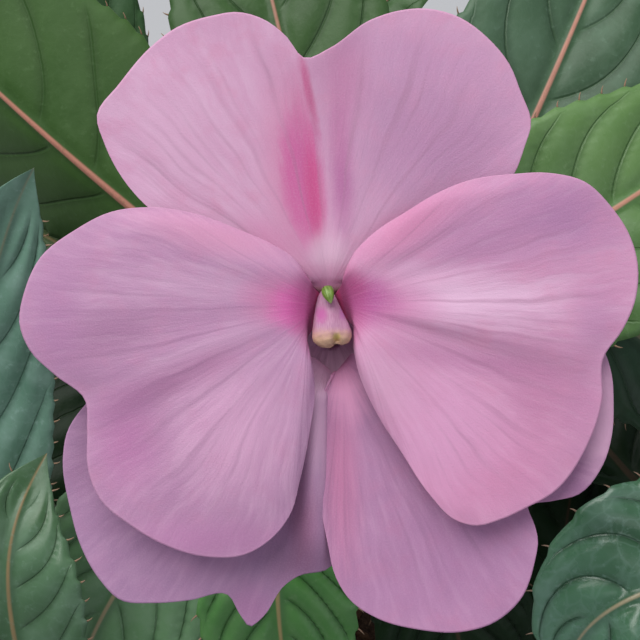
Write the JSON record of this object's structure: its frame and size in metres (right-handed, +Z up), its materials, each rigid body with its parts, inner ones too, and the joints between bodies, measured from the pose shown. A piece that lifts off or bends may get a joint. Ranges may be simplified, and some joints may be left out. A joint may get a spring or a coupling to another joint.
{
  "type": "potted new guinea impatiens",
  "caption": "Bushy new guinea impatiens in a plain tapered pot, with whorls of toothed dark green leaves and one flat, five-petalled pink flower.",
  "frame": {"origin": "centre of the flat underside of the pot", "axes": "+Z up, -Y towards the side that the flower faces, +X to the right as seen from that side"},
  "size_m": [0.2372, 0.2744, 0.2603],
  "materials": {
    "pot_plastic": "matt moulded terracotta-coloured plastic",
    "potting_mix": "moist crumbly peat mix",
    "stem_skin": "smooth succulent skin, reddish green",
    "leaf_green": "semi-gloss, dark green with a bluish sheen",
    "petal_pink": "velvety matt",
    "spur_pink": "satin",
    "column_pink": "waxy satin",
    "flower_green": "waxy satin"
  },
  "bodies": {
    "root": {"leaf_back_01": "leaf_green", "leaf_back_02": "leaf_green", "leaf_back_03": "leaf_green", "leaf_back_04": "leaf_green", "leaf_back_05": "leaf_green", "leaf_back_right_01": "leaf_green", "leaf_back_right_02": "leaf_green", "leaf_back_right_03": "leaf_green", "leaf_back_right_04": "leaf_green", "leaf_front_left_01": "leaf_green", "leaf_front_left_02": "leaf_green", "leaf_front_left_03": "leaf_green", "leaf_front_left_04": "leaf_green", "leaf_front_left_05": "leaf_green", "leaf_front_left_06": "leaf_green", "leaf_front_right_01": "leaf_green", "leaf_front_right_02": "leaf_green", "leaf_front_right_03": "leaf_green", "leaf_front_right_04": "leaf_green", "leaf_left_01": "leaf_green", "leaf_left_02": "leaf_green", "leaf_left_03": "leaf_green", "leaf_left_04": "leaf_green", "leaf_left_05": "leaf_green", "leaf_main_01": "leaf_green", "leaf_main_02": "leaf_green", "leaf_main_03": "leaf_green", "leaf_main_04": "leaf_green", "leaf_main_05": "leaf_green", "leaf_main_06": "leaf_green", "leaf_main_07": "leaf_green", "leaf_main_08": "leaf_green", "leaf_main_09": "leaf_green", "leaf_right_01": "leaf_green", "leaf_right_02": "leaf_green", "leaf_right_03": "leaf_green", "leaf_right_04": "leaf_green", "leaf_right_05": "leaf_green", "leaf_young_01": "leaf_green", "leaf_young_02": "leaf_green", "ovary_tip": "flower_green", "pedicel": "stem_skin", "petal_left": "petal_pink", "petal_lower_left": "petal_pink", "petal_lower_right": "petal_pink", "petal_right": "petal_pink", "petal_top": "petal_pink", "pot": "pot_plastic", "sepal_left": "flower_green", "sepal_right": "flower_green", "soil": "potting_mix", "spurred_sepal": "spur_pink", "stamen_column": "column_pink", "stem_back": "stem_skin", "stem_back_right": "stem_skin", "stem_front_left": "stem_skin", "stem_front_right": "stem_skin", "stem_left": "stem_skin", "stem_main": "stem_skin", "stem_right": "stem_skin"}
  },
  "joints": []
}
